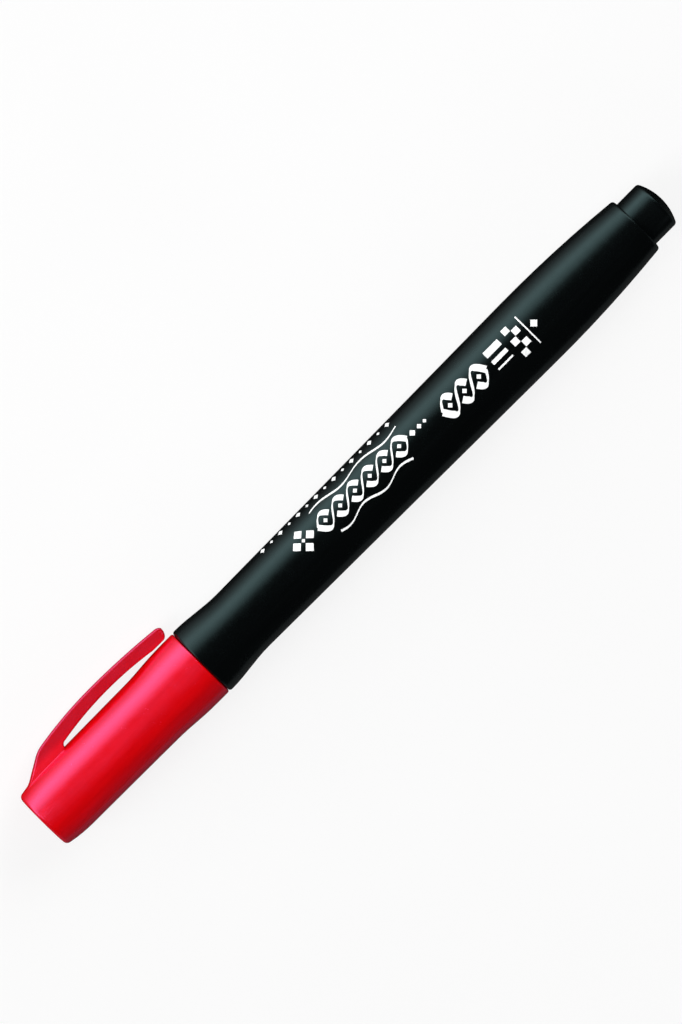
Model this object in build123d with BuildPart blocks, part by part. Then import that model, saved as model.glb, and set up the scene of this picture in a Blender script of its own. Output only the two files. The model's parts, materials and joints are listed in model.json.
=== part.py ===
from build123d import *

# A capped calligraphy marker with a 5 mm chisel nib, lying on a table.
#
# The frame, in millimetres: +X runs along the pen, towards its nib and the closed end of its cap, +Z is up, and
# z = 0 is the table. The origin is the middle of the bounding box's floor. The pen rests on the flared front rim
# of its barrel and on one edge of its pocket clip, so the clip points towards -Y and down at CLIP_DROP.
#
# Sections are drawn on SIDE, whose first coordinate u is a station along the pen, from the crown of the tail
# plug, and whose second coordinate r is the distance from the pen's axis on the clip's side.

import os
from math import asin, atan2, cos, hypot, sin, sqrt

# ---- Driving dimensions ----
TOTAL_LENGTH = 139.0
SLIP = 0.01  # gap between pieces that are slid together and stay put

# Barrel
BARREL_REAR = 5.7  # station of its rear rim
BARREL_FRONT = 103.5  # station of its front face
FLARE_RADIUS = 6.5
FLARE_ROUND = 0.5
GRIP_RISE = (98.4, 6.15)  # midway between the waist and the flare
WAIST = (94.0, 5.84)
BELLY = (30.0, 6.39)
RIM_RADIUS = 5.32
RIM_ROUND = 0.6
BORE_REAR_RADIUS = 4.55
BORE_FRONT_RADIUS = 4.85
RIB_INNER_RADIUS = 4.35
RIB_WIDTH = 0.7
RIB_COUNT = 4

# Tail plug: a stud that shows, and a thinner shank in the barrel
STUD_RADIUS = 4.4
SHANK_RADIUS = 4.2
CROWN_RADIUS = 9.05
CROWN_ROUND = 0.7
PLUG_INNER_END = 12.0
PLUG_WALL = 1.0

# Front section: sleeve, neck and nose
SLEEVE_RADIUS = 4.95
SLEEVE_REAR = 90.0
NECK_RADIUS = 4.36
NECK_FRONT = 114.0
NOSE_FRONT = 122.0
NOSE_SHOULDER_RADIUS = 4.05
NOSE_TIP_RADIUS = 3.5
BEAD_STATIONS = (107.6, 112.4)  # the snap bead and the sealing ring
BEAD_HEIGHT = 0.15
BEAD_FOOT = 0.55  # half of a bead's length
CHAMBER_RADIUS = 3.25
REAR_WEB = (97.2, 99.0)
FRONT_WEB = 113.0
CHANNEL_RADIUS = 0.45

# Nib
NIB_WIDTH = 5.0
NIB_THICKNESS = 2.4
NIB_REAR = 90.5
NIB_WEDGE = (2.5, 0.4)  # length of the rear wedge, and half of its end's thickness
NIB_SHOULDER = 124.6  # where the front bevel starts
NIB_TIP = 128.4
NIB_EDGE = 0.5  # thickness of the writing edge
NIB_HEEL = (0.9, 0.25)  # the small bevel under the writing edge

# Ink reservoir
CORE_RADIUS = 4.15
WRAP_RADIUS = 4.25
CORE_FRONT = 96.8

# Cap
CAP_MOUTH = BARREL_FRONT + 0.05
CAP_MOUTH_RADIUS = 6.42
MOUTH_ROUND = 0.35
CAP_SHOULDERS = ((109.0, 6.34), (113.0, 6.06))
CAP_BODY = (117.0, 6.0)
CAP_TAPER = (133.5, 5.88)
CAP_CORNER_RADIUS = 5.25
CAP_CORNER_ROUND = 0.8
CAP_BORE_RADIUS = 5.15
CAP_LIP = (104.05, 104.7)  # the lip that keeps the liner in
LIP_HEIGHT = 0.15
END_BORE_RADIUS = 4.2
END_WALL = 1.5
DISH_RADIUS = 3.2
DISH_DEPTH = 0.35

# Liner of the cap
LINER_MOUTH = 104.8
LINER_END = 135.4
LINER_RADIUS = 5.1
LINER_BORE_RADIUS = 4.54
LINER_END_WALL = 0.8

# Pocket clip
CLIP_CREST = (119.0, 9.62)
CLIP_BEND = (131.8, 8.48)
CLIP_FOOT = (136.8, 5.55)
CLIP_TIP = (105.3, 8.91)
TIP_UNDERSIDE = (105.3, 6.67)
TIP_PAD = (107.6, 6.69)
GAP_CREST = (117.2, 7.42)
GAP_ROOT = (127.9, 6.48)
BEND_ROUND = 3.0
ROOT_ROUND = 0.8
CLIP_WIDTH = 4.2
CLIP_TIP_WIDTH = 3.2
TAPER_START = 114.0
CLIP_EDGE = 0.45  # rounding of its long edges
PIVOT = (126.5, 7.9)  # where the arm flexes
PIVOT_RADIUS = 0.85
PIVOT_CLEARANCE = 0.05
FLEX_RELIEF = 0.15  # lets the arm turn before its shoulders meet the foot

# ---- How the pen lies ----
# The rounded edge of the clip's crest and the flare of the barrel both touch z = 0.
crest_out = CLIP_CREST[1] - CLIP_EDGE
crest_aside = CLIP_WIDTH / 2 - CLIP_EDGE
crest_lift = asin((FLARE_RADIUS - CLIP_EDGE) / hypot(crest_out, crest_aside))
CLIP_DROP = crest_lift - atan2(crest_aside, crest_out)
clip_reach = crest_out * cos(CLIP_DROP) + crest_aside * sin(CLIP_DROP) + CLIP_EDGE
PEN_ORIGIN = (-TOTAL_LENGTH / 2, (clip_reach - FLARE_RADIUS) / 2, FLARE_RADIUS)
ALONG = (1, 0, 0)
CLIPWARD = (0, -cos(CLIP_DROP), -sin(CLIP_DROP))

SIDE = Plane(origin=PEN_ORIGIN, x_dir=ALONG, z_dir=(0, sin(CLIP_DROP), -cos(CLIP_DROP)))
PLAN = Plane(origin=PEN_ORIGIN, x_dir=ALONG, z_dir=CLIPWARD)  # looks at the clip from outside
PEN_AXIS = Axis(PEN_ORIGIN, ALONG)


def across(station):
    """The plane square to the pen at a station, facing the nib, with the clip along its first coordinate."""
    return Plane(origin=SIDE.from_local_coords((station, 0)), x_dir=CLIPWARD, z_dir=ALONG)


def ring_edges(part, radius):
    """The circular edges of that radius, from the tail towards the nib."""
    circles = part.edges().filter_by(GeomType.CIRCLE)
    return circles.filter_by(lambda edge: abs(edge.radius - radius) < 1e-4).sort_by(Axis.X)


# ---- Barrel ----
# One long moulding: a tail that tapers on a large arc, a slim grip, and a flared front rim. Ribs in its bore
# hold the reservoir off the wall and let air past it.
with BuildPart() as barrel:
    with BuildSketch(SIDE):
        with BuildLine():
            flare_start = (BARREL_FRONT - FLARE_ROUND, FLARE_RADIUS)
            flare_end = (BARREL_FRONT, FLARE_RADIUS - FLARE_ROUND)
            rim_start = (BARREL_REAR + RIM_ROUND, RIM_RADIUS)
            rim_end = (BARREL_REAR, RIM_RADIUS - RIM_ROUND)
            belly_slope = (BELLY[0] - WAIST[0], BELLY[1] - WAIST[1])
            Polyline(
                flare_end,
                (BARREL_FRONT, SLEEVE_RADIUS),
                (SLEEVE_REAR, SLEEVE_RADIUS),
                (SLEEVE_REAR, BORE_FRONT_RADIUS),
                (PLUG_INNER_END, BORE_REAR_RADIUS),
                (PLUG_INNER_END, SHANK_RADIUS),
                (BARREL_REAR, SHANK_RADIUS),
                rim_end,
            )
            TangentArc(rim_start, rim_end, tangent=(-1, 0))
            TangentArc(BELLY, rim_start, tangent=belly_slope)
            Line(BELLY, WAIST)
            Spline(WAIST, GRIP_RISE, flare_start, tangents=[(-belly_slope[0], -belly_slope[1]), ALONG])
            TangentArc(flare_start, flare_end, tangent=ALONG)
        make_face()
    revolve(axis=PEN_AXIS)
    with BuildSketch(across(PLUG_INNER_END)):
        rib_outer_radius = BORE_FRONT_RADIUS + RIB_WIDTH / 2  # inside the wall, where its end doesn't show
        with PolarLocations((RIB_INNER_RADIUS + rib_outer_radius) / 2, RIB_COUNT, start_angle=45):
            Rectangle(rib_outer_radius - RIB_INNER_RADIUS, RIB_WIDTH)
    extrude(amount=SLEEVE_REAR - PLUG_INNER_END)

# ---- Tail plug ----
# A hollow plug with a domed crown. Its shank is pressed into the barrel, up to the shoulder of the stud that the
# cap is posted on.
with BuildPart() as tail_plug:
    with BuildSketch(SIDE):
        with BuildLine():
            crown_depth = CROWN_RADIUS - sqrt(CROWN_RADIUS**2 - STUD_RADIUS**2)
            Polyline(
                (crown_depth, STUD_RADIUS),
                (BARREL_REAR, STUD_RADIUS),
                (BARREL_REAR, SHANK_RADIUS),
                (PLUG_INNER_END, SHANK_RADIUS),
                (PLUG_INNER_END, SHANK_RADIUS - PLUG_WALL),
                (2 * PLUG_WALL, SHANK_RADIUS - PLUG_WALL),
                (2 * PLUG_WALL, 0),
                (0, 0),
            )
            TangentArc((0, 0), (crown_depth, STUD_RADIUS), tangent=(0, 1))
        make_face()
    revolve(axis=PEN_AXIS)
    fillet(ring_edges(tail_plug, STUD_RADIUS)[0], CROWN_ROUND)
    fillet(ring_edges(tail_plug, SHANK_RADIUS - PLUG_WALL)[0], PLUG_WALL / 2)

# ---- Nib ----
# A slab of bonded fibre. Its front is a chisel, and its rear wedge is pushed into the reservoir.
with BuildPart() as nib:
    with BuildSketch(PLAN):
        with BuildLine():
            face = NIB_THICKNESS / 2
            heel = NIB_HEEL[1] - face
            Polyline(
                (NIB_REAR, -NIB_WEDGE[1]),
                (NIB_REAR + NIB_WEDGE[0], -face),
                (NIB_TIP - NIB_HEEL[0], -face),
                (NIB_TIP, heel),
                (NIB_TIP, heel + NIB_EDGE),
                (NIB_SHOULDER, face),
                (NIB_REAR + NIB_WEDGE[0], face),
                (NIB_REAR, NIB_WEDGE[1]),
                close=True,
            )
        make_face()
    extrude(amount=NIB_WIDTH / 2, both=True)

# ---- Front section ----
# A sleeve pressed into the barrel, the neck that the cap's liner closes over, and a tapered nose with the nib's
# socket. It is cored out between two webs, and two channels beside the nib let air in as ink flows out.
with BuildPart() as front_section:
    with BuildSketch(SIDE):
        with BuildLine():
            Polyline(
                (SLEEVE_REAR, WRAP_RADIUS + SLIP),
                (SLEEVE_REAR, SLEEVE_RADIUS),
                (BARREL_FRONT, SLEEVE_RADIUS),
                (BARREL_FRONT, NECK_RADIUS),
                (NECK_FRONT, NECK_RADIUS),
                (NECK_FRONT, NOSE_SHOULDER_RADIUS),
                (NOSE_FRONT, NOSE_TIP_RADIUS),
                (NOSE_FRONT, 0),
                (FRONT_WEB, 0),
                (FRONT_WEB, CHAMBER_RADIUS),
                (REAR_WEB[1], CHAMBER_RADIUS),
                (REAR_WEB[1], 0),
                (REAR_WEB[0], 0),
                (REAR_WEB[0], WRAP_RADIUS + SLIP),
                close=True,
            )
        make_face()
    revolve(axis=PEN_AXIS)
    chamfer(ring_edges(front_section, NECK_RADIUS)[-1], NECK_RADIUS - NOSE_SHOULDER_RADIUS - SLIP)
    fillet(ring_edges(front_section, NOSE_TIP_RADIUS)[-1], 2 * SLIP + CHANNEL_RADIUS)
    with BuildSketch(SIDE):
        for station in BEAD_STATIONS:
            with BuildLine():
                bead_start = (station - BEAD_FOOT, NECK_RADIUS - BEAD_HEIGHT)
                bead_end = (station + BEAD_FOOT, NECK_RADIUS - BEAD_HEIGHT)
                ThreePointArc(bead_start, (station, NECK_RADIUS + BEAD_HEIGHT), bead_end)
                Line(bead_start, bead_end)
            make_face()
    revolve(axis=PEN_AXIS)
    with BuildSketch(across(REAR_WEB[0])):
        Rectangle(NIB_WIDTH, NIB_THICKNESS)
        with GridLocations(0, NIB_THICKNESS + CHANNEL_RADIUS, 1, 2):
            Circle(CHANNEL_RADIUS)
    extrude(amount=NOSE_FRONT - REAR_WEB[0], mode=Mode.SUBTRACT)

# ---- Ink reservoir and its wrap ----
# A bonded fibre core in a sleeve of plastic film.
with BuildPart() as ink_reservoir:
    with BuildSketch(across(PLUG_INNER_END)):
        Circle(CORE_RADIUS)
    extrude(amount=CORE_FRONT - PLUG_INNER_END)
    add(nib.part, mode=Mode.SUBTRACT)

with BuildPart() as reservoir_wrap:
    with BuildSketch(across(PLUG_INNER_END)):
        Circle(WRAP_RADIUS)
        Circle(CORE_RADIUS, mode=Mode.SUBTRACT)
    extrude(amount=CORE_FRONT - PLUG_INNER_END)


# ---- Cap ----
def cap_outline():
    """Draws the outside of the cap, from its mouth to its closed end, in the active BuildLine."""
    round_start = (CAP_MOUTH, CAP_MOUTH_RADIUS - MOUTH_ROUND)
    round_end = (CAP_MOUTH + MOUTH_ROUND, CAP_MOUTH_RADIUS)
    taper_slope = (CAP_TAPER[0] - CAP_BODY[0], CAP_TAPER[1] - CAP_BODY[1])
    TangentArc(round_start, round_end, tangent=(0, 1))
    Spline(round_end, *CAP_SHOULDERS, CAP_BODY, tangents=[ALONG, taper_slope])
    Line(CAP_BODY, CAP_TAPER)
    TangentArc(CAP_TAPER, (TOTAL_LENGTH, CAP_CORNER_RADIUS), tangent=taper_slope)


# The shell flares to the barrel's width at its mouth. Its closed end is flat, with a shallow dish.
with BuildPart() as cap_shell:
    with BuildSketch(SIDE):
        with BuildLine():
            cap_outline()
            Polyline(
                (CAP_MOUTH, CAP_MOUTH_RADIUS - MOUTH_ROUND),
                (CAP_MOUTH, CAP_BORE_RADIUS + LIP_HEIGHT),
                (CAP_LIP[0], CAP_BORE_RADIUS - LIP_HEIGHT),
                (CAP_LIP[1], CAP_BORE_RADIUS - LIP_HEIGHT),
                (CAP_LIP[1], CAP_BORE_RADIUS),
                (LINER_END + 2 * PIVOT_CLEARANCE, CAP_BORE_RADIUS),
                (LINER_END + 2 * PIVOT_CLEARANCE, END_BORE_RADIUS),
                (TOTAL_LENGTH - END_WALL, END_BORE_RADIUS),
                (TOTAL_LENGTH - END_WALL, 0),
                (TOTAL_LENGTH - DISH_DEPTH, 0),
                (TOTAL_LENGTH - DISH_DEPTH, DISH_RADIUS),
                (TOTAL_LENGTH, DISH_RADIUS + DISH_DEPTH),
                (TOTAL_LENGTH, CAP_CORNER_RADIUS),
            )
        make_face()
    revolve(axis=PEN_AXIS)
    fillet(ring_edges(cap_shell, CAP_CORNER_RADIUS)[-1], CAP_CORNER_ROUND)

# The same outside without a bore, which trims the foot of the clip.
with BuildPart() as cap_solid:
    with BuildSketch(SIDE):
        with BuildLine():
            cap_outline()
            Polyline(
                (CAP_MOUTH, CAP_MOUTH_RADIUS - MOUTH_ROUND),
                (CAP_MOUTH, 0),
                (TOTAL_LENGTH, 0),
                (TOTAL_LENGTH, CAP_CORNER_RADIUS),
            )
        make_face()
    revolve(axis=PEN_AXIS)

# The liner is an inner cap that closes over the neck and keeps the nib wet.
with BuildPart() as inner_cap:
    with BuildSketch(SIDE):
        with BuildLine():
            lead_in = (LINER_RADIUS - LINER_BORE_RADIUS) / 2
            Polyline(
                (LINER_MOUTH, LINER_BORE_RADIUS + lead_in),
                (LINER_MOUTH, LINER_RADIUS),
                (LINER_END, LINER_RADIUS),
                (LINER_END, 0),
                (LINER_END - LINER_END_WALL, 0),
                (LINER_END - LINER_END_WALL, LINER_BORE_RADIUS),
                (LINER_MOUTH + lead_in, LINER_BORE_RADIUS),
                close=True,
            )
        make_face()
    revolve(axis=PEN_AXIS)
    fillet(ring_edges(inner_cap, LINER_RADIUS)[-1], LINER_END_WALL / 2)


# ---- Pocket clip ----
# A bar that rises from the cap near its closed end and runs back over it to the mouth. It is drawn whole, then
# parted at PIVOT into the foot, which stays with the shell, and the arm, which flexes.
def edge_across(part, point):
    """The edge straight across the clip that is nearest to a point of its side view."""
    edges = part.edges().filter_by(Axis(PEN_ORIGIN, SIDE.z_dir))
    return edges.sort_by_distance(SIDE.from_local_coords(point))[0]


def is_long_edge(edge):
    """Whether an edge follows the outline of one side of the clip, above its base."""
    start, middle, end = (SIDE.to_local_coords(edge @ position) for position in (0, 0.5, 1))
    beside = abs(middle.Z) > CLIP_WIDTH / 4 and start.Z * end.Z > 0
    upright = edge.geom_type == GeomType.LINE and abs(start.X - end.X) < SLIP
    return beside and not upright and middle.Y > END_BORE_RADIUS


with BuildPart() as clip_blank:
    with BuildSketch(SIDE):
        with BuildLine():
            tip_round = (CLIP_TIP[1] - TIP_UNDERSIDE[1]) / 2
            TangentArc(CLIP_CREST, CLIP_BEND, tangent=ALONG)
            TangentArc(CLIP_CREST, CLIP_TIP, tangent=(-1, 0))
            ThreePointArc(CLIP_TIP, (CLIP_TIP[0] - tip_round, CLIP_TIP[1] - tip_round), TIP_UNDERSIDE)
            Line(TIP_UNDERSIDE, TIP_PAD)
            TangentArc(GAP_CREST, TIP_PAD, tangent=(-1, 0))
            TangentArc(GAP_CREST, GAP_ROOT, tangent=ALONG)
            Polyline(
                GAP_ROOT,
                (GAP_ROOT[0] + ROOT_ROUND / 2, END_BORE_RADIUS),
                (CLIP_FOOT[0], END_BORE_RADIUS),
                CLIP_FOOT,
                CLIP_BEND,
            )
        make_face()
    extrude(amount=CLIP_WIDTH / 2, both=True)
    fillet(edge_across(clip_blank, CLIP_BEND), BEND_ROUND)
    fillet(edge_across(clip_blank, GAP_ROOT), ROOT_ROUND)
    with BuildSketch(PLAN):
        with BuildLine():
            tip_end = CLIP_TIP[0] - 2 * tip_round
            for half in (CLIP_WIDTH / 2, -CLIP_WIDTH / 2):
                taper_end = (tip_end, half * CLIP_TIP_WIDTH / CLIP_WIDTH)
                Line((TOTAL_LENGTH, half), (TAPER_START, half))
                TangentArc((TAPER_START, half), taper_end, tangent=(-1, 0))
            Line((tip_end, CLIP_TIP_WIDTH / 2), (tip_end, -CLIP_TIP_WIDTH / 2))
            Line((TOTAL_LENGTH, CLIP_WIDTH / 2), (TOTAL_LENGTH, -CLIP_WIDTH / 2))
        make_face()
    extrude(amount=2 * FLARE_RADIUS, mode=Mode.INTERSECT)
    fillet(clip_blank.edges().filter_by(is_long_edge), CLIP_EDGE)

with BuildPart() as clip_foot:
    add(clip_blank.part)
    split(bisect_by=across(PIVOT[0]), keep=Keep.TOP)
    with BuildSketch(SIDE):
        with Locations(PIVOT):
            Circle(PIVOT_RADIUS + PIVOT_CLEARANCE)
    extrude(amount=CLIP_WIDTH, both=True, mode=Mode.SUBTRACT)
    add(cap_solid.part, mode=Mode.SUBTRACT)

with BuildPart() as clip_arm:
    add(clip_blank.part)
    split(bisect_by=across(PIVOT[0] - FLEX_RELIEF), keep=Keep.BOTTOM)
    with BuildSketch(SIDE):
        with Locations(PIVOT):
            Circle(PIVOT_RADIUS)
    extrude(amount=CLIP_WIDTH / 2 - CLIP_EDGE, both=True)

# ---- Labels and files ----
PIECES = {
    "barrel": barrel,
    "tail_plug": tail_plug,
    "nib": nib,
    "front_section": front_section,
    "ink_reservoir": ink_reservoir,
    "reservoir_wrap": reservoir_wrap,
    "cap_shell": cap_shell,
    "inner_cap": inner_cap,
    "clip_foot": clip_foot,
    "clip_arm": clip_arm,
}
os.makedirs("parts", exist_ok=True)
for name, piece in PIECES.items():
    piece.part.label = name
    export_step(piece.part, f"parts/{name}.step")
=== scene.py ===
"""The looks of a capped calligraphy marker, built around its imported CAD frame.

Blender works in metres. The helpers below take millimetres: a station u along the pen from its tail, a
distance r from the pen's axis on the clip's side, and a distance s across the clip, towards the raised side.
"""

import json
import math

import bpy
import numpy as np
from mathutils import Matrix, Vector


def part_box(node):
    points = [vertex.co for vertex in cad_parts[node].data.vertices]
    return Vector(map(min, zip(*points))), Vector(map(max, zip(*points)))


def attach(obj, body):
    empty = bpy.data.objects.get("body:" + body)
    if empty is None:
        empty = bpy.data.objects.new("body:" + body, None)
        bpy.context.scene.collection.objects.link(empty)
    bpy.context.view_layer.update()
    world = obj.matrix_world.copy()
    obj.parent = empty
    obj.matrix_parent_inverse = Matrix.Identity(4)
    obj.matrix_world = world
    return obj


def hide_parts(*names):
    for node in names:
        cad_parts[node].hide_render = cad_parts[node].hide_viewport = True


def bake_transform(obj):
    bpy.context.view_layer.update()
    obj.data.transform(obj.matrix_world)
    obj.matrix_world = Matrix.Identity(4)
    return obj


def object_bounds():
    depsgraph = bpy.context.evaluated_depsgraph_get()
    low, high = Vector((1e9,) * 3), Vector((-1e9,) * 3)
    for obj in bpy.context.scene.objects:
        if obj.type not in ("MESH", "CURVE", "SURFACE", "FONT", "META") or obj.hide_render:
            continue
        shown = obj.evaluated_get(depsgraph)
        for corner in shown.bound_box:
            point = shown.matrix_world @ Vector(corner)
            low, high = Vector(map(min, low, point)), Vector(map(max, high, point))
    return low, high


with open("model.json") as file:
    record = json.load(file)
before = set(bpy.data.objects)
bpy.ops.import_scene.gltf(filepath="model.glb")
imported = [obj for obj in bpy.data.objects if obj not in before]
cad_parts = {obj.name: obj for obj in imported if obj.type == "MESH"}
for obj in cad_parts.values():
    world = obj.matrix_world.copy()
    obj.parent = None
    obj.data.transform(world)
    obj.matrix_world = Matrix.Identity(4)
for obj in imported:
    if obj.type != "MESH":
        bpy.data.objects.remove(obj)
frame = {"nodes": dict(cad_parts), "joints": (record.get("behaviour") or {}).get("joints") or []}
cad_low, cad_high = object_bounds()

MM = 0.001

# ---- The frame of the pen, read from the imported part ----
JOINTS = {joint["name"]: joint for joint in frame["joints"]}
barrel_low, barrel_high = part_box("barrel")
ALONG = Vector((1, 0, 0))
UPWARD = Vector(JOINTS["clip_flex"]["axis"]).normalized()  # square to the clip, and up
CLIPWARD = ALONG.cross(UPWARD)
TAIL = Vector((cad_low.x, (barrel_low.y + barrel_high.y) / 2, (barrel_low.z + barrel_high.z) / 2))
PEN_LENGTH = (cad_high.x - cad_low.x) / MM
INSIDE_RADIUS = 5.2  # vertices nearer to the axis than this belong to a node's inside or its ends


def at(u, r=0.0, s=0.0):
    """The point at station u, r millimetres clipwards and s millimetres upwards from the axis."""
    return TAIL + (ALONG * u + CLIPWARD * r + UPWARD * s) * MM


def around(u, radius, angle):
    """The point at station u and a radius, turned by angle from the raised side towards the clip."""
    return at(u, radius * math.sin(angle), radius * math.cos(angle))


def outer_profile(name):
    """The stations and radii of a turned CAD node's outside."""
    points = np.array([v.co for v in frame["nodes"][name].data.vertices], float)
    u = (points[:, 0] - TAIL.x) / MM
    radius = np.hypot(points[:, 1] - TAIL.y, points[:, 2] - TAIL.z) / MM
    outside = radius > INSIDE_RADIUS
    u, radius = np.round(u[outside], 3), radius[outside]
    stations = np.unique(u)
    return stations, np.array([radius[u == station].max() for station in stations])


# ---- Material helpers ----
MIX_COLOURS = (6, 7)  # the colour sockets of a Mix node, which shares their names with its other kinds
MIX_RESULT = 2
EDGE_POINTINESS = (0.52, 0.62)  # from where an edge counts as sharp, to where it is fully worn
SOFT = (0.3, 0.7)  # the range of a noise that is used: a narrower one gives crisper shapes
CRISP = (0.35, 0.65)


class Shader:
    """A node material under construction."""

    def __init__(self, name):
        self.material = bpy.data.materials.new(name)
        self.material.use_nodes = True
        self.tree = self.material.node_tree
        self.surface = self.tree.nodes["Principled BSDF"]
        self.place = self.add("ShaderNodeTexCoord").outputs["Object"]

    def add(self, kind, settings=None, **sockets):
        """Adds a node. Settings are its properties, and sockets its inputs: values, or outputs to link."""
        made = self.tree.nodes.new(kind)
        for key, value in (settings or {}).items():
            setattr(made, key, value)
        for key, value in sockets.items():
            self.put(made, key.replace("_", " "), value)
        return made

    def put(self, target, socket, value):
        """Links an output to a socket, or sets its value."""
        found = target.inputs[socket]
        if isinstance(value, bpy.types.NodeSocket):
            self.tree.links.new(value, found)
        else:
            found.default_value = value

    def set(self, **sockets):
        """Sets or links sockets of the surface's own shader."""
        for key, value in sockets.items():
            self.put(self.surface, key.replace("_", " "), value)

    def noise(self, scale, detail=3.0, roughness=0.5):
        """Noise from 0 to 1 whose grains are about 1 / scale millimetres wide."""
        made = self.add("ShaderNodeTexNoise", Vector=self.place, Scale=scale / MM)
        self.put(made, "Detail", detail)
        self.put(made, "Roughness", roughness)
        return made.outputs["Fac"]

    def streaks(self, scales, detail=3.0, roughness=0.5):
        """Noise from 0 to 1 with a scale of its own along each axis."""
        spread = self.add("ShaderNodeMapping", Vector=self.place, Scale=[scale / MM for scale in scales])
        made = self.add("ShaderNodeTexNoise", Vector=spread.outputs["Vector"], Scale=1.0)
        self.put(made, "Detail", detail)
        self.put(made, "Roughness", roughness)
        return made.outputs["Fac"]

    def span(self, value, reach, result=(0, 1)):
        """Maps a value from one range to another, and holds it there."""
        made = self.add("ShaderNodeMapRange", Value=value)
        for key, number in zip(("From Min", "From Max", "To Min", "To Max"), (*reach, *result)):
            self.put(made, key, number)
        return made.outputs["Result"]

    def blend(self, share, first, second):
        """Mixes two colours."""
        made = self.add("ShaderNodeMix", {"data_type": "RGBA"}, Factor=share)
        for socket, colour in zip(MIX_COLOURS, (first, second)):
            is_output = isinstance(colour, bpy.types.NodeSocket)
            self.put(made, socket, colour if is_output else (*colour, 1))
        return made.outputs[MIX_RESULT]

    def worn_edges(self):
        """1 on sharp outside edges and 0 elsewhere."""
        pointiness = self.add("ShaderNodeNewGeometry").outputs["Pointiness"]
        return self.span(pointiness, EDGE_POINTINESS)

    def calculate(self, operation, first, second):
        """One step of arithmetic between two values or outputs."""
        made = self.add("ShaderNodeMath", {"operation": operation})
        self.put(made, 0, first)
        self.put(made, 1, second)
        return made.outputs[0]

    def total(self, first, second):
        return self.calculate("ADD", first, second)

    def product(self, first, second):
        return self.calculate("MULTIPLY", first, second)

    def bump(self, height, depth):
        """Raises the surface by height times depth millimetres."""
        made = self.add("ShaderNodeBump", Height=height, Distance=depth * MM)
        self.set(Normal=made.outputs["Normal"])


# ---- Materials ----
def black_plastic(name, base, gloss):
    """Satin black moulded plastic: a fine spark-eroded grain, faint flow lines and polished edges."""
    made = Shader(name)
    grain = made.noise(7.0, detail=4.0, roughness=0.6)
    waves = made.noise(0.8, detail=2.0)
    flow = made.streaks((0.05, 1.2, 1.2))
    edges = made.worn_edges()
    darker = [value * 0.75 for value in base]
    polished = [value * 3 for value in base]
    tone = made.blend(made.span(flow, CRISP), darker, base)
    made.set(Base_Color=made.blend(edges, tone, polished))
    fine = made.span(grain, SOFT, (gloss - 0.03, gloss + 0.04))
    rough = made.total(fine, made.span(waves, SOFT, (-0.03, 0.03)))
    made.set(Roughness=made.total(rough, made.product(edges, -0.08)))
    made.set(IOR=1.6, Specular_Tint=(0.58, 0.98, 1.0, 1))
    made.bump(made.total(grain, made.product(waves, 1.5)), 0.004)
    return made


CLIP_SHADE_START = 6.4  # distances from the axis between which the red darkens to the clip's painted shade
CLIP_SHADE_END = 7.6


def red_plastic():
    """Semi-gloss red moulded plastic with a soft pink sheen. Where it stands out as the clip it is painted a
    deeper red: painted shade.
    """
    made = Shader("red_plastic_look")
    deep, bright, clip_painted_shade = (0.64, 0.0004, 0.0005), (0.74, 0.0010, 0.0012), (0.50, 0.0012, 0.0016)
    rubbed = (0.75, 0.03, 0.05)
    outward = made.add("ShaderNodeVectorMath", {"operation": "DOT_PRODUCT"})
    made.put(outward, 0, made.place)
    made.put(outward, 1, CLIPWARD)
    axis = TAIL.dot(CLIPWARD)
    raised = made.span(outward.outputs["Value"], (axis + CLIP_SHADE_START * MM, axis + CLIP_SHADE_END * MM))
    grain = made.noise(5.0)
    waves = made.noise(0.6, detail=2.0)
    flow = made.streaks((0.07, 0.9, 0.9), detail=4.0)
    tone = made.blend(made.span(flow, SOFT), deep, bright)
    # Painted shade: the clip is given a darker red than the cap where it stands out from the axis.
    tone = made.blend(raised, tone, clip_painted_shade)
    made.set(Base_Color=made.blend(made.product(made.worn_edges(), 0.35), tone, rubbed))
    fine = made.span(grain, SOFT, (0.20, 0.25))
    made.set(Roughness=made.total(fine, made.span(waves, SOFT, (-0.03, 0.03))))
    made.set(IOR=2.45, Specular_Tint=(1.0, 0.37, 1.0, 1))
    made.bump(made.total(grain, made.product(waves, 2.0)), 0.003)
    return made


def liner_plastic():
    """Milky natural polyethylene."""
    made = Shader("liner_plastic_look")
    cloud = made.noise(0.5, detail=4.0)
    grain = made.noise(4.0)
    made.set(Base_Color=made.blend(made.span(cloud, SOFT), (0.70, 0.70, 0.66), (0.82, 0.82, 0.79)))
    made.set(Roughness=made.span(grain, SOFT, (0.34, 0.46)))
    made.set(Subsurface_Weight=0.25, Subsurface_Radius=(1.0, 1.0, 0.9), Subsurface_Scale=0.6 * MM)
    made.bump(grain, 0.003)
    return made


def felt():
    """Bonded fibre soaked in red ink: streaks along the nib, fine fibres and a soft mottle."""
    made = Shader("felt_look")
    streak = made.streaks((0.25, 3.6, 3.6), detail=6.0, roughness=0.7)
    fibre = made.streaks((1.2, 24.0, 24.0), detail=4.0, roughness=0.7)
    mottle = made.noise(0.7)
    tone = made.blend(made.span(streak, (0.38, 0.62)), (0.10, 0.001, 0.002), (0.42, 0.008, 0.013))
    soaked = made.span(mottle, (0.4, 0.7), (0, 0.5))
    made.set(Base_Color=made.blend(soaked, tone, (0.30, 0.004, 0.008)))
    made.set(Roughness=made.span(fibre, SOFT, (0.72, 0.95)))
    made.set(Sheen_Weight=0.25, Sheen_Roughness=0.5, Sheen_Tint=(1.0, 0.6, 0.6, 1), Specular_IOR_Level=0.25)
    made.bump(made.total(streak, fibre), 0.05)
    return made


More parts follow.
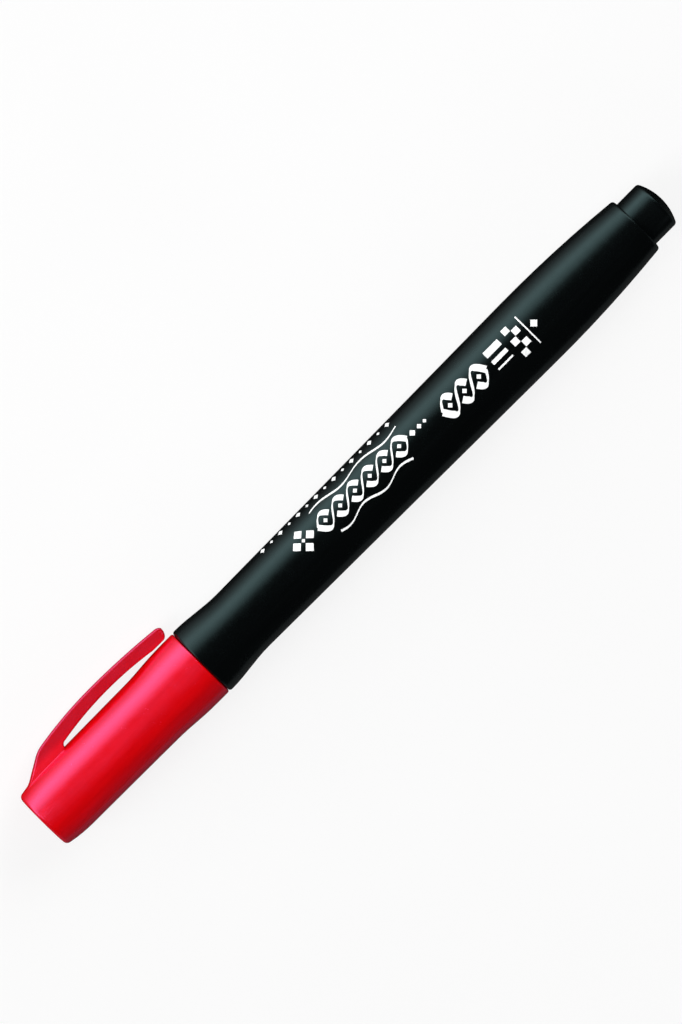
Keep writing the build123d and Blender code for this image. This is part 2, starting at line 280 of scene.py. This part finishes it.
def ink_fibre():
    """The reservoir's loose fibres, soaked in red ink."""
    made = Shader("ink_fibre_look")
    streak = made.streaks((0.12, 6.0, 6.0), detail=6.0, roughness=0.7)
    made.set(Base_Color=made.blend(made.span(streak, CRISP), (0.28, 0.004, 0.008), (0.55, 0.02, 0.03)))
    made.set(Roughness=made.span(streak, SOFT, (0.75, 0.95)))
    made.set(Sheen_Weight=0.2, Sheen_Roughness=0.5)
    made.bump(streak, 0.05)
    return made


def clear_film():
    """The clear film wrapped round the reservoir, with faint drawing lines."""
    made = Shader("film_look")
    lines = made.streaks((0.08, 4.0, 4.0))
    made.set(Base_Color=(0.85, 0.85, 0.83, 1), Transmission_Weight=0.9, IOR=1.45)
    made.set(Roughness=made.span(lines, SOFT, (0.10, 0.22)))
    made.bump(lines, 0.002)
    return made


def white_ink():
    """Pad-printed white ink: matt, slightly uneven in cover."""
    made = Shader("white_print_look")
    cover = made.noise(3.0, detail=4.0, roughness=0.6)
    grain = made.noise(9.0)
    made.set(Base_Color=made.blend(made.span(cover, (0.35, 0.6)), (0.80, 0.81, 0.81), (0.92, 0.93, 0.93)))
    made.set(Roughness=made.span(grain, SOFT, (0.5, 0.62)))
    made.bump(grain, 0.003)
    return made


def dress(obj, look):
    """Gives every material slot of an object one material."""
    if not obj.data.materials:
        obj.data.materials.append(look)
    for index in range(len(obj.data.materials)):
        obj.data.materials[index] = look


black = black_plastic("black_plastic_look", (0.0014, 0.0017, 0.0018), 0.23)
red = red_plastic()
LOOKS = {
    "barrel": black,
    "tail_plug": black,
    "front_section": black_plastic("neck_plastic_look", (0.0060, 0.0062, 0.0066), 0.42),
    "nib": felt(),
    "ink_reservoir": ink_fibre(),
    "reservoir_wrap": clear_film(),
    "inner_cap": liner_plastic(),
    "cap_shell": red,
    "clip_foot": red,
    "clip_arm": red,
}
for node_name, node_look in LOOKS.items():
    dress(frame["nodes"][node_name], node_look.material)


# ---- Pocket clip ----
# One fine mesh for the foot and the arm, which are one moulding with the cap. It is built as rings square to
# the pen. In the foot the sides run out onto the cap in a small fillet, and the ring closes inside the cap's
# wall. Places are stations and distances from the axis, as in the CAD model.
CLIP_CREST = (119.0, 9.62)
CLIP_BEND = (131.8, 8.48)
BEND_SOFTNESS = 0.4
CROWN_END = 134.0  # the crown's arc isn't followed past this station
CLIP_LANDING = (136.8, 5.55)
LANDING_SOFTNESS = 0.3
CLIP_TIP_CENTRE = (105.3, 7.79)
TIP_ROUND = 1.12
TIP_LEAN = 0.4  # how far the tip's end leans away from the cap
TIP_PAD = (107.6, 6.69)
PAD_SLOPE = 1 / 110  # how the pad falls towards the tip
GAP_CREST = (117.2, 7.42)
GAP_ROOT = (127.9, 6.48)
ROOT_ROUND = 0.8
ROOT_START = GAP_ROOT[0] - ROOT_ROUND / 2  # where the round of the gap's root starts
CLIP_HALF = 2.1  # half of the clip's width
TIP_HALF = 1.6
TAPER_START = 114.0
TAPER_END = CLIP_TIP_CENTRE[0] - 2 * TIP_ROUND

# The section of the clip
OUTER_EDGE = 0.45
INNER_EDGE = 0.3
FULL_THICKNESS = 1.2  # a thinner section has smaller edges
LEAST_THICKNESS = 0.05
ROOTED = 0.4  # how much of the depth under the cap's surface counts as thickness
CROWNING = 0.12  # the share of the cap's own curve that the arm's outside has
CROWNING_START = 130.5  # from here the outside takes on all of that curve
CROWNING_RUN = 5.0
FOOT_START = GAP_ROOT[0] + 0.2  # from here the arm's section turns into the foot's
FOOT_RUN = 0.9
FILLET = 0.2
FILLET_SHARE = 0.9  # the most of the wall's height that the fillet takes
LEAST_WALL = 0.02
SKIRT_REACH = 0.25  # how far the foot runs on under the cap's surface
SUNK = 0.03  # how deep its edge lies there
BURIED = 0.42  # how deep the ring closes under the cap's surface

# Points along each stretch of a section, and the places of the rings
OUTSIDE_STEPS = 9
EDGE_STEPS = 9
WALL_STEPS = 8
UNDER_STEPS = 13
TIP_ANGLES = np.linspace(6, 90, 15)[:-1]  # degrees round the tip
ROOT_ANGLES = np.linspace(0, 89, 24)  # degrees round the gap's root
RING_SPANS = (  # start, end and number of rings: closer where the clip leaves the cap and where it lands
    (CLIP_TIP_CENTRE[0], 126.0, 70),
    (126.0, 127.4, 10),
    (128.32, 129.4, 20),
    (129.4, 134.4, 40),
    (134.4, 137.2, 24),
)

cap_stations, cap_radii = outer_profile("cap_shell")


def cap_radius(u):
    return float(np.interp(u, cap_stations, cap_radii))


def arc_height(u, crest, end):
    """The height of the arc that leaves crest level and passes through end."""
    run, drop = end[0] - crest[0], crest[1] - end[1]
    radius = (run * run + drop * drop) / (2 * drop)
    return crest[1] - radius + math.sqrt(max(radius * radius - (u - crest[0]) ** 2, 0.0))


def eased_min(first, second, softness):
    """The smaller of two values, with the corner between them rounded."""
    gap = max(softness - abs(first - second), 0.0) / softness
    return min(first, second) - gap * gap * softness / 4


def eased_max(first, second, softness):
    return -eased_min(-first, -second, softness)


def clip_top(u):
    """The outside of the clip in side view, without the round of its tip."""
    if u <= CLIP_CREST[0]:
        return arc_height(u, CLIP_CREST, (CLIP_TIP_CENTRE[0], CLIP_TIP_CENTRE[1] + TIP_ROUND))
    crown = arc_height(min(u, CROWN_END), CLIP_CREST, CLIP_BEND)
    slope = (CLIP_LANDING[1] - CLIP_BEND[1]) / (CLIP_LANDING[0] - CLIP_BEND[0])
    ramp = CLIP_BEND[1] + slope * (u - CLIP_BEND[0])
    return eased_max(eased_min(crown, ramp, BEND_SOFTNESS), cap_radius(u) - SUNK, LANDING_SOFTNESS)


def clip_underside(u):
    """The underside of the clip in side view, falling into the cap on the round of the gap's root."""
    if u <= TIP_PAD[0]:
        return TIP_PAD[1] - PAD_SLOPE * (TIP_PAD[0] - u)
    if u <= GAP_CREST[0]:
        return arc_height(u, GAP_CREST, TIP_PAD)
    roof = arc_height(min(u, ROOT_START), GAP_CREST, GAP_ROOT)
    along = u - ROOT_START
    if along <= 0:
        return roof
    return roof - ROOT_ROUND + math.sqrt(max(ROOT_ROUND**2 - along * along, 0.0))


def clip_half_width(u):
    """Half of the clip's width: it narrows towards the tip on an arc."""
    share = max(TAPER_START - u, 0.0) / (TAPER_START - TAPER_END)
    return CLIP_HALF - (CLIP_HALF - TIP_HALF) * share * share


def smooth(value):
    """Eases from 0 to 1."""
    value = min(max(value, 0.0), 1.0)
    return value * value * (3 - 2 * value)


def between(first, second, share):
    """The point at a share of the way from one point to another."""
    return tuple(a + (b - a) * share for a, b in zip(first, second))


def line_points(start, end, count):
    """Points on a line, without its two ends."""
    return [between(start, end, k / (count + 1)) for k in range(1, count + 1)]


def arc_points(centre, radius, start, end, count):
    """Points on an arc in the (s, r) plane, with angles in degrees."""
    angles = np.radians(np.linspace(start, end, count))
    return [(centre[0] + radius * math.cos(angle), centre[1] + radius * math.sin(angle)) for angle in angles]


def height_on(radius, s):
    """The height, s to the side of the axis, of a circle about it."""
    return math.sqrt(radius * radius - s * s)


def on_circle(radius, turn):
    """The point of a circle about the axis, turned from its top."""
    return radius * math.sin(turn), radius * math.cos(turn)


def arm_side(half, wall_top, edge, underside, floor_radius):
    """Down the arm's wall, round its inner edge, and along its underside to the middle."""

    def under(s):
        return max(underside, height_on(floor_radius, s))

    low = under(half - edge) + edge
    wall = line_points((half, wall_top), (half, low), WALL_STEPS)
    inner_edge = arc_points((half - edge, low), edge, 0, -90, EDGE_STEPS)
    return wall + inner_edge + [(s, under(s)) for s in np.linspace(half - edge, 0, UNDER_STEPS)[1:]]


def foot_side(half, wall_top, surface):
    """Down the foot's wall, out onto the cap on a fillet, and back to the middle inside the cap's wall."""
    wall_height = max(wall_top - height_on(surface, half), LEAST_WALL)
    fillet = min(FILLET, FILLET_SHARE * wall_height)
    centre = (half + fillet, height_on(surface + fillet, half + fillet))
    wall = line_points((half, wall_top), (half, centre[1]), WALL_STEPS)
    meets = 180 + math.degrees(math.atan2(centre[1], centre[0]))
    skirt = arc_points(centre, fillet, 180, meets, EDGE_STEPS)
    reach = math.atan2(*skirt[-1]) + SKIRT_REACH / surface
    inside = [on_circle(surface - BURIED, turn) for turn in np.linspace(reach, 0, UNDER_STEPS - 1)[1:]]
    return wall + skirt + [on_circle(surface - SUNK, reach)] + inside


def clip_section(u, top, underside, half, edge_scale):
    """Half of the ring at station u, from the middle of its outside to the middle of its underside."""
    surface = cap_radius(u)
    curving = CROWNING + (1 - CROWNING) * smooth((u - CROWNING_START) / CROWNING_RUN)
    thickness = top - max(underside, surface - ROOTED)
    edge_scale *= min(max(thickness, LEAST_THICKNESS) / FULL_THICKNESS, 1.0)
    edge = OUTER_EDGE * edge_scale

    def crowned(s):
        """The outside falls away towards its edges, and takes the cap's own curve where it lands."""
        return top - curving * (surface - height_on(surface, s))

    wall_top = crowned(half - edge) - edge
    outside = [(s, crowned(s)) for s in np.linspace(0, half - edge, OUTSIDE_STEPS)[:-1]]
    outside += arc_points((half - edge, wall_top), edge, 90, 0, EDGE_STEPS)
    arm = arm_side(half, wall_top, INNER_EDGE * edge_scale, underside, surface - BURIED)
    foot = foot_side(half, wall_top, surface)
    share = smooth((u - FOOT_START) / FOOT_RUN)
    return outside + [between(a, b, share) for a, b in zip(arm, foot)]


def clip_rings():
    """Each ring's station, top, underside, half width and scale of its edges."""
    rings = []
    for angle in np.radians(TIP_ANGLES):
        reach = math.sin(angle)
        u = CLIP_TIP_CENTRE[0] - TIP_ROUND * math.cos(angle)
        centre = CLIP_TIP_CENTRE[1] + TIP_LEAN * (1 - reach)
        half = clip_half_width(u) - OUTER_EDGE * (1 - reach)
        rings.append((u, centre + TIP_ROUND * reach, centre - TIP_ROUND * reach, half, reach))
    spans = [np.linspace(*span) for span in RING_SPANS]
    root = ROOT_START + ROOT_ROUND * np.sin(np.radians(ROOT_ANGLES))
    for u in np.unique(np.concatenate([*spans, root])):
        rings.append((u, clip_top(u), clip_underside(u), clip_half_width(u), 1.0))
    return rings


def mesh_object(name, vertices, faces, look, flat=False):
    """A new mesh object of one material. The corners of its faces run anticlockwise, seen from outside."""
    mesh = bpy.data.meshes.new(name)
    mesh.from_pydata([tuple(v) for v in vertices], [], faces)
    mesh.validate()
    made = bpy.data.objects.new(name, mesh)
    bpy.context.scene.collection.objects.link(made)
    mesh.materials.append(look.material)
    if not flat:
        mesh.shade_smooth()
    return made


def build_clip():
    """Joins the rings into one closed mesh."""
    vertices, faces = [], []
    rings = clip_rings()
    for u, top, underside, half, edge_scale in rings:
        side = clip_section(u, top, underside, half, edge_scale)
        ring = side + [(-s, r) for s, r in side[-2:0:-1]]
        vertices += [at(u, r, s) for s, r in ring]
    size = len(vertices) // len(rings)
    for row in range(len(rings) - 1):
        for k in range(size):
            a, b = row * size + k, row * size + (k + 1) % size
            faces.append((a, a + size, b + size, b))
    faces.append(tuple(range(size)))
    faces.append(tuple(range(len(vertices) - 1, len(vertices) - size - 1, -1)))
    return mesh_object("pocket_clip", vertices, faces, red)


clip = build_clip()
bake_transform(clip)
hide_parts("clip_foot", "clip_arm")


# ---- White print ----
# Plain ornament and gauge marks, as a broad nib writes them, with no lettering. The marks are laid out flat,
# in millimetres: p runs from the grip towards the tail, and h towards the clip. Each is a thin solid on the
# barrel.
PRINT_START = 80.7  # the station of p = 0
INK_TOP = 0.02  # how high the ink stands above the barrel's surface
INK_BOTTOM = -0.03
INK_STEP = 0.0001  # each mark's top is this much higher than the last one's, so that no two share a surface
SLANT = math.radians(40)  # the angle at which a broad nib is held
FINE_NIB = (0.95, 0.17, SLANT)  # width, thickness and slant
HAIR_NIB = (0.42, 0.14, SLANT)
BROAD_NIB = (1.15, 0.24, SLANT)
CELL = 0.4  # the size of the mesh's cells, which lets a mark follow the barrel's curve
WAVE_STEP = 0.08  # how far apart the points of a flourish are
STRAND_POINTS = 44  # points of a braid's strand in each eye

barrel_stations, barrel_radii = outer_profile("barrel")


def on_barrel(p, h, lift):
    """The point of the barrel's surface under a flat point, raised by lift."""
    u = PRINT_START - p
    radius = float(np.interp(u, barrel_stations, barrel_radii))
    return around(u, radius + lift, h / radius)


def points_across(length):
    return max(math.ceil(length / CELL), 1) + 1


def stroke(line, nib):
    """Rows of points across a line, as wide as the nib writes in each direction."""
    width, thickness, slant = nib
    rows = []
    for k, (p, h) in enumerate(line):
        before, after = line[max(k - 1, 0)], line[min(k + 1, len(line) - 1)]
        heading = math.atan2(after[1] - before[1], after[0] - before[0])
        half = 0.5 * math.hypot(width * math.sin(heading - slant), thickness * math.cos(heading - slant))
        aside = (-math.sin(heading), math.cos(heading))
        shares = np.linspace(-half, half, points_across(width))
        rows.append([(p + aside[0] * x, h + aside[1] * x) for x in shares])
    return rows


def lozenge(p, h, wide, tall):
    """Rows of points of a diamond, wide along the pen and tall across it."""
    steps = np.linspace(0, 1, points_across(max(wide, tall)))
    return [[(p + (i + j - 1) * wide / 2, h + (j - i) * tall / 2) for j in steps] for i in steps]


def bar(p, h, wide, tall):
    """Rows of points of a rectangle, wide along the pen and tall across it."""
    across = np.linspace(-wide / 2, wide / 2, points_across(wide))
    upward = np.linspace(-tall / 2, tall / 2, points_across(tall))
    return [[(p + x, h + y) for y in upward] for x in across]


def swung(p, start, middle, height, turn_length, phase):
    """A point of a sine wave whose phase is given at start."""
    return float(p), middle + height * math.sin(2 * math.pi * (p - start) / turn_length + phase)


def wave(start, end, middle, height, length, phase):
    """The points of a long flourish."""
    count = int((end - start) / WAVE_STEP) + 2
    return [swung(p, start, middle, height, length, phase) for p in np.linspace(start, end, count)]


def braid(start, eyes, length, middle, height, nib, gap, eye_size):
    """Two waves that pass over and under each other, with a diamond in each eye."""
    marks = []
    for strand in (0, 1):
        for eye in range(eyes):
            over_first = (eye + strand) % 2 == 0
            low = start + eye * length + (0 if over_first or eye == 0 else gap)
            high = start + (eye + 1) * length - (gap if over_first and eye < eyes - 1 else 0)
            places = np.linspace(low, high, STRAND_POINTS)
            line = [swung(p, start, middle, height, 2 * length, math.pi * strand) for p in places]
            marks.append(stroke(line, nib))
    for eye in range(eyes):
        marks.append(lozenge(start + (eye + 0.5) * length, middle, eye_size, eye_size))
    return marks


def rosette(p, h, reach, size, heart):
    """Four diamonds about a small one."""
    petals = [(p, h + reach), (p + reach, h), (p, h - reach), (p - reach, h)]
    return [lozenge(*place, size, size) for place in petals] + [lozenge(p, h, heart, heart)]


def ladder(p, h, rungs, aside, rise, size):
    """Nib widths stacked in two columns, which set the height of a hand."""
    return [bar(p + aside * (rung % 2), h + rise * rung, size, size) for rung in range(rungs)]


def border(p, h, count, step, sizes, stretch):
    """A row of diamonds that are large and small in turn."""
    return [lozenge(p + step * k, h, sizes[k % 2], sizes[k % 2] * stretch) for k in range(count)]


def print_marks():
    """Every mark of the print, as rows of flat points."""
    # A rosette, a braid with two long flourishes, and three diamonds that fade out.
    marks = rosette(2.3, 2.1, reach=1.45, size=1.75, heart=0.7)
    marks += braid(5.4, eyes=6, length=3.3, middle=1.9, height=1.5, nib=FINE_NIB, gap=0.42, eye_size=0.85)
    marks.append(stroke(wave(6.0, 25.4, middle=4.85, height=0.5, length=9.7, phase=0.4), HAIR_NIB))
    marks.append(stroke(wave(7.6, 23.8, middle=-0.95, height=0.5, length=8.1, phase=3.4), HAIR_NIB))
    marks += [lozenge(p, 1.9, size, size) for p, size in ((26.5, 1.2), (28.0, 0.95), (29.2, 0.7))]
    # A bolder braid, and three weights of line.
    marks += braid(32.2, eyes=3, length=3.2, middle=0.7, height=1.75, nib=BROAD_NIB, gap=0.46, eye_size=0.95)
    marks += [bar(44.8, h, 3.2, weight) for h, weight in ((2.35, 1.2), (0.6, 0.7), (-0.75, 0.3))]
    # The ladder of nib widths, with a thin line and a diamond after it.
    marks += ladder(48.2, -1.9, rungs=5, aside=1.25, rise=1.2, size=1.15)
    marks.append(bar(50.9, 0.5, wide=0.22, tall=6.0))
    marks.append(lozenge(52.3, 0.5, wide=1.5, tall=1.5))
    # A row of small diamonds beside the ornament.
    marks += border(-3.4, 7.1, count=15, step=2.0, sizes=(0.95, 0.6), stretch=1.6)
    return marks


def build_print():
    """Each mark as a closed solid: its top, its underside, and a wall round its rim."""
    vertices, faces = [], []
    for number, rows in enumerate(print_marks()):
        first, count, width = len(vertices), len(rows), len(rows[0])
        for level in (INK_TOP + INK_STEP * number, INK_BOTTOM):
            vertices += [on_barrel(p, h, level) for row in rows for p, h in row]
        under = count * width
        for i in range(count - 1):
            for j in range(width - 1):
                a = first + i * width + j
                b, c, d = a + width, a + width + 1, a + 1
                faces.append((a, b, c, d))
                faces.append((d + under, c + under, b + under, a + under))
        rim = [first + i * width for i in range(count)]
        rim += [first + (count - 1) * width + j for j in range(1, width)]
        rim += [first + i * width + width - 1 for i in range(count - 2, -1, -1)]
        rim += [first + j for j in range(width - 2, 0, -1)]
        for k, here in enumerate(rim):
            after = rim[(k + 1) % len(rim)]
            faces.append((here, here + under, after + under, after))
    made = mesh_object("white_print", vertices, faces, white_ink(), flat=True)
    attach(made, "pen")


build_print()


# ---- Stage, light and camera ----
# Places and sizes of the stage are in metres, apart from the levels of the cards.
TABLE_HALF = 3.0
CARD_Y = -1.25  # the tall card's place, and the near side of the table's card
CARD_LIFT = 0.1 * MM  # lifts the table's card off the table
CARD_RADIANCE = 1.5

# What the gloss shows, as levels of (place in millimetres, share of CARD_RADIANCE). On the clip's side stands
# a tall card that fades upwards. The table's card, whose places are counted from the pen's axis, darkens near
# the pen, so that the highlight ends softly: a painted contact shadow that only reflections see. On the other
# side it stays dim: painted shade that only reflections see, over the pale table. A low dim card stands there
# too. They keep that edge of the pen dark, and still draw its shape from behind.
TALL_CARD = (
    (0, 0.93), (160, 0.78), (320, 0.6), (460, 0.42), (600, 0.22), (780, 0.07), (1040, 0.015), (2000, 0),
)
LOW_CARD = ((0, 0.07), (70, 0.06), (120, 0))
TABLE_CARD = (
    (-100, 1), (-45, 1), (-30, 0.84), (-21, 0.55), (-13, 0.2), (-8, 0.01),
    (0, 0), (8, 0.01), (20, 0.04), (60, 0.05), (250, 0.07),
)

# A low wide softbox on the clip's side, a fill above it, a weak one behind the pen, and two large lights off
# the pen's ends: name, place, aim, width, height and radiance. Radiance 1 is the white of the picture.
LIGHTS = (
    ("softbox", (0, -1.25, 0.31), (0, 0, 0.05), 3.2, 0.6, 1.45),
    ("fill", (0, -0.9, 1.55), (0, 0, 0), 1.2, 1.2, 1.0),
    ("back_fill", (0, 1.3, 0.6), (0, 0, 0), 2.4, 0.8, 0.3),
    ("key_left", (-1.45, -1.0, 1.15), (0, 0, 0), 1.2, 1.2, 7.0),
    ("key_right", (1.45, -1.0, 1.15), (0, 0, 0), 1.2, 1.2, 7.0),
)

# The camera looks square at the clip's side view. Lengths are in millimetres.
LENS = 400.0
SENSOR = 36.0
VIEW_HEIGHT = 162.2  # what the picture's height takes in at the pen
PEN_RISE = math.radians(45.17)  # how steeply the pen rises in the picture
FRAMING = (-1.71, -0.41, 0.127)  # from the pen's middle to the middle of the picture: right, up and clipwards


def rectangle(low_x, high_x, low_y, high_y, z):
    return [(low_x, low_y, z), (high_x, low_y, z), (high_x, high_y, z), (low_x, high_y, z)]


def build_table():
    """A light table: pale, lit from below, so that it takes only a faint shadow."""
    look = Shader("floor_look")
    mottle = look.noise(0.02, detail=2.0)
    look.set(Base_Color=look.blend(look.span(mottle, SOFT), (0.135, 0.135, 0.135), (0.145, 0.145, 0.145)))
    look.set(Roughness=0.9, Specular_IOR_Level=0.1)
    look.set(Emission_Color=(1, 1, 1, 1), Emission_Strength=0.84)
    corners = rectangle(-TABLE_HALF, TABLE_HALF, -TABLE_HALF, TABLE_HALF, 0)
    floor = mesh_object("floor", corners, [(0, 1, 2, 3)], look, flat=True)


def glowing_card(name, corners, axis, levels):
    """A card that only reflections see, and whose glow follows the levels along an axis."""
    start, end = levels[0][0], levels[-1][0]
    look = Shader(name + "_look")
    place = look.add("ShaderNodeSeparateXYZ", Vector=look.place).outputs[axis]
    ramp = look.add("ShaderNodeValToRGB", Fac=look.span(place, (start * MM, end * MM)))
    stops = ramp.color_ramp.elements
    while len(stops) < len(levels):
        stops.new(0.5)  # each stop's real place is set below
    for stop, (position, radiance) in zip(stops, levels):
        stop.position = (position - start) / (end - start)
        stop.color = (radiance, radiance, radiance, 1)
    look.set(Base_Color=(0, 0, 0, 1), Roughness=1.0, Specular_IOR_Level=0.0)
    look.set(Emission_Color=ramp.outputs["Color"], Emission_Strength=CARD_RADIANCE)
    made = mesh_object(name, corners, [(0, 1, 2, 3)], look, flat=True)
    made.visible_camera = False
    made.visible_diffuse = False
    made.visible_shadow = False
    made.visible_transmission = False


def upright_card(name, y, levels):
    """A glowing card that stands on the table, lengthwise to the pen."""
    top = levels[-1][0] * MM
    corners = [(-TABLE_HALF, y, 0), (TABLE_HALF, y, 0), (TABLE_HALF, y, top), (-TABLE_HALF, y, top)]
    glowing_card(name, corners, "Z", levels)


def build_cards():
    upright_card("tall_card", CARD_Y, TALL_CARD)
    upright_card("low_card", -CARD_Y, LOW_CARD)
    middle = TAIL.y / MM
    levels = [(middle + away, radiance) for away, radiance in TABLE_CARD]
    glowing_card("table_card", rectangle(-TABLE_HALF, TABLE_HALF, CARD_Y, -CARD_Y, CARD_LIFT), "Y", levels)


def build_world():
    """Dim all round for reflections, and pale where the camera looks past the table."""
    world = bpy.data.worlds.new("studio")
    world.use_nodes = True
    bpy.context.scene.world = world
    nodes, links = world.node_tree.nodes, world.node_tree.links
    dim = nodes["Background"]
    dim.inputs["Color"].default_value = (0.9, 0.95, 1.0, 1)
    dim.inputs["Strength"].default_value = 0.012
    pale = nodes.new("ShaderNodeBackground")
    pale.inputs["Color"].default_value = (0.96, 0.96, 0.96, 1)
    rays = nodes.new("ShaderNodeLightPath")
    mix = nodes.new("ShaderNodeMixShader")
    links.new(rays.outputs["Is Camera Ray"], mix.inputs["Fac"])
    links.new(dim.outputs["Background"], mix.inputs[1])
    links.new(pale.outputs["Background"], mix.inputs[2])
    links.new(mix.outputs["Shader"], nodes["World Output"].inputs["Surface"])


def add_light(name, place, aim, width, height, radiance):
    """A soft light that neither the camera nor the gloss sees: the cards take its place there."""
    light = bpy.data.lights.new(name, "AREA")
    light.shape = "RECTANGLE"
    light.size = width
    light.size_y = height
    light.energy = radiance * math.pi * width * height
    made = bpy.data.objects.new(name, light)
    bpy.context.scene.collection.objects.link(made)
    made.location = place
    made.rotation_euler = (Vector(aim) - Vector(place)).to_track_quat("-Z", "Y").to_euler()
    made.visible_camera = False
    made.visible_glossy = False


def build_camera():
    """The camera of the photograph, with the pen's tail to the upper right."""
    tailward = -ALONG
    right = tailward * math.cos(PEN_RISE) - CLIPWARD * math.sin(PEN_RISE)
    up = tailward * math.sin(PEN_RISE) + CLIPWARD * math.cos(PEN_RISE)
    shift = right * FRAMING[0] + up * FRAMING[1] + CLIPWARD * FRAMING[2]
    distance = LENS / SENSOR * VIEW_HEIGHT
    place = at(PEN_LENGTH / 2) + (shift + UPWARD * distance) * MM
    data = bpy.data.cameras.new("camera")
    data.lens = LENS
    data.sensor_width = SENSOR
    data.clip_start = 0.01
    data.clip_end = 20.0
    camera = bpy.data.objects.new("camera", data)
    bpy.context.scene.collection.objects.link(camera)
    camera.matrix_world = Matrix.Translation(place) @ Matrix((right, up, UPWARD)).transposed().to_4x4()
    bpy.context.scene.camera = camera


build_table()
build_cards()
build_world()
for light_settings in LIGHTS:
    add_light(*light_settings)
build_camera()
bpy.context.scene.view_settings.view_transform = "Standard"
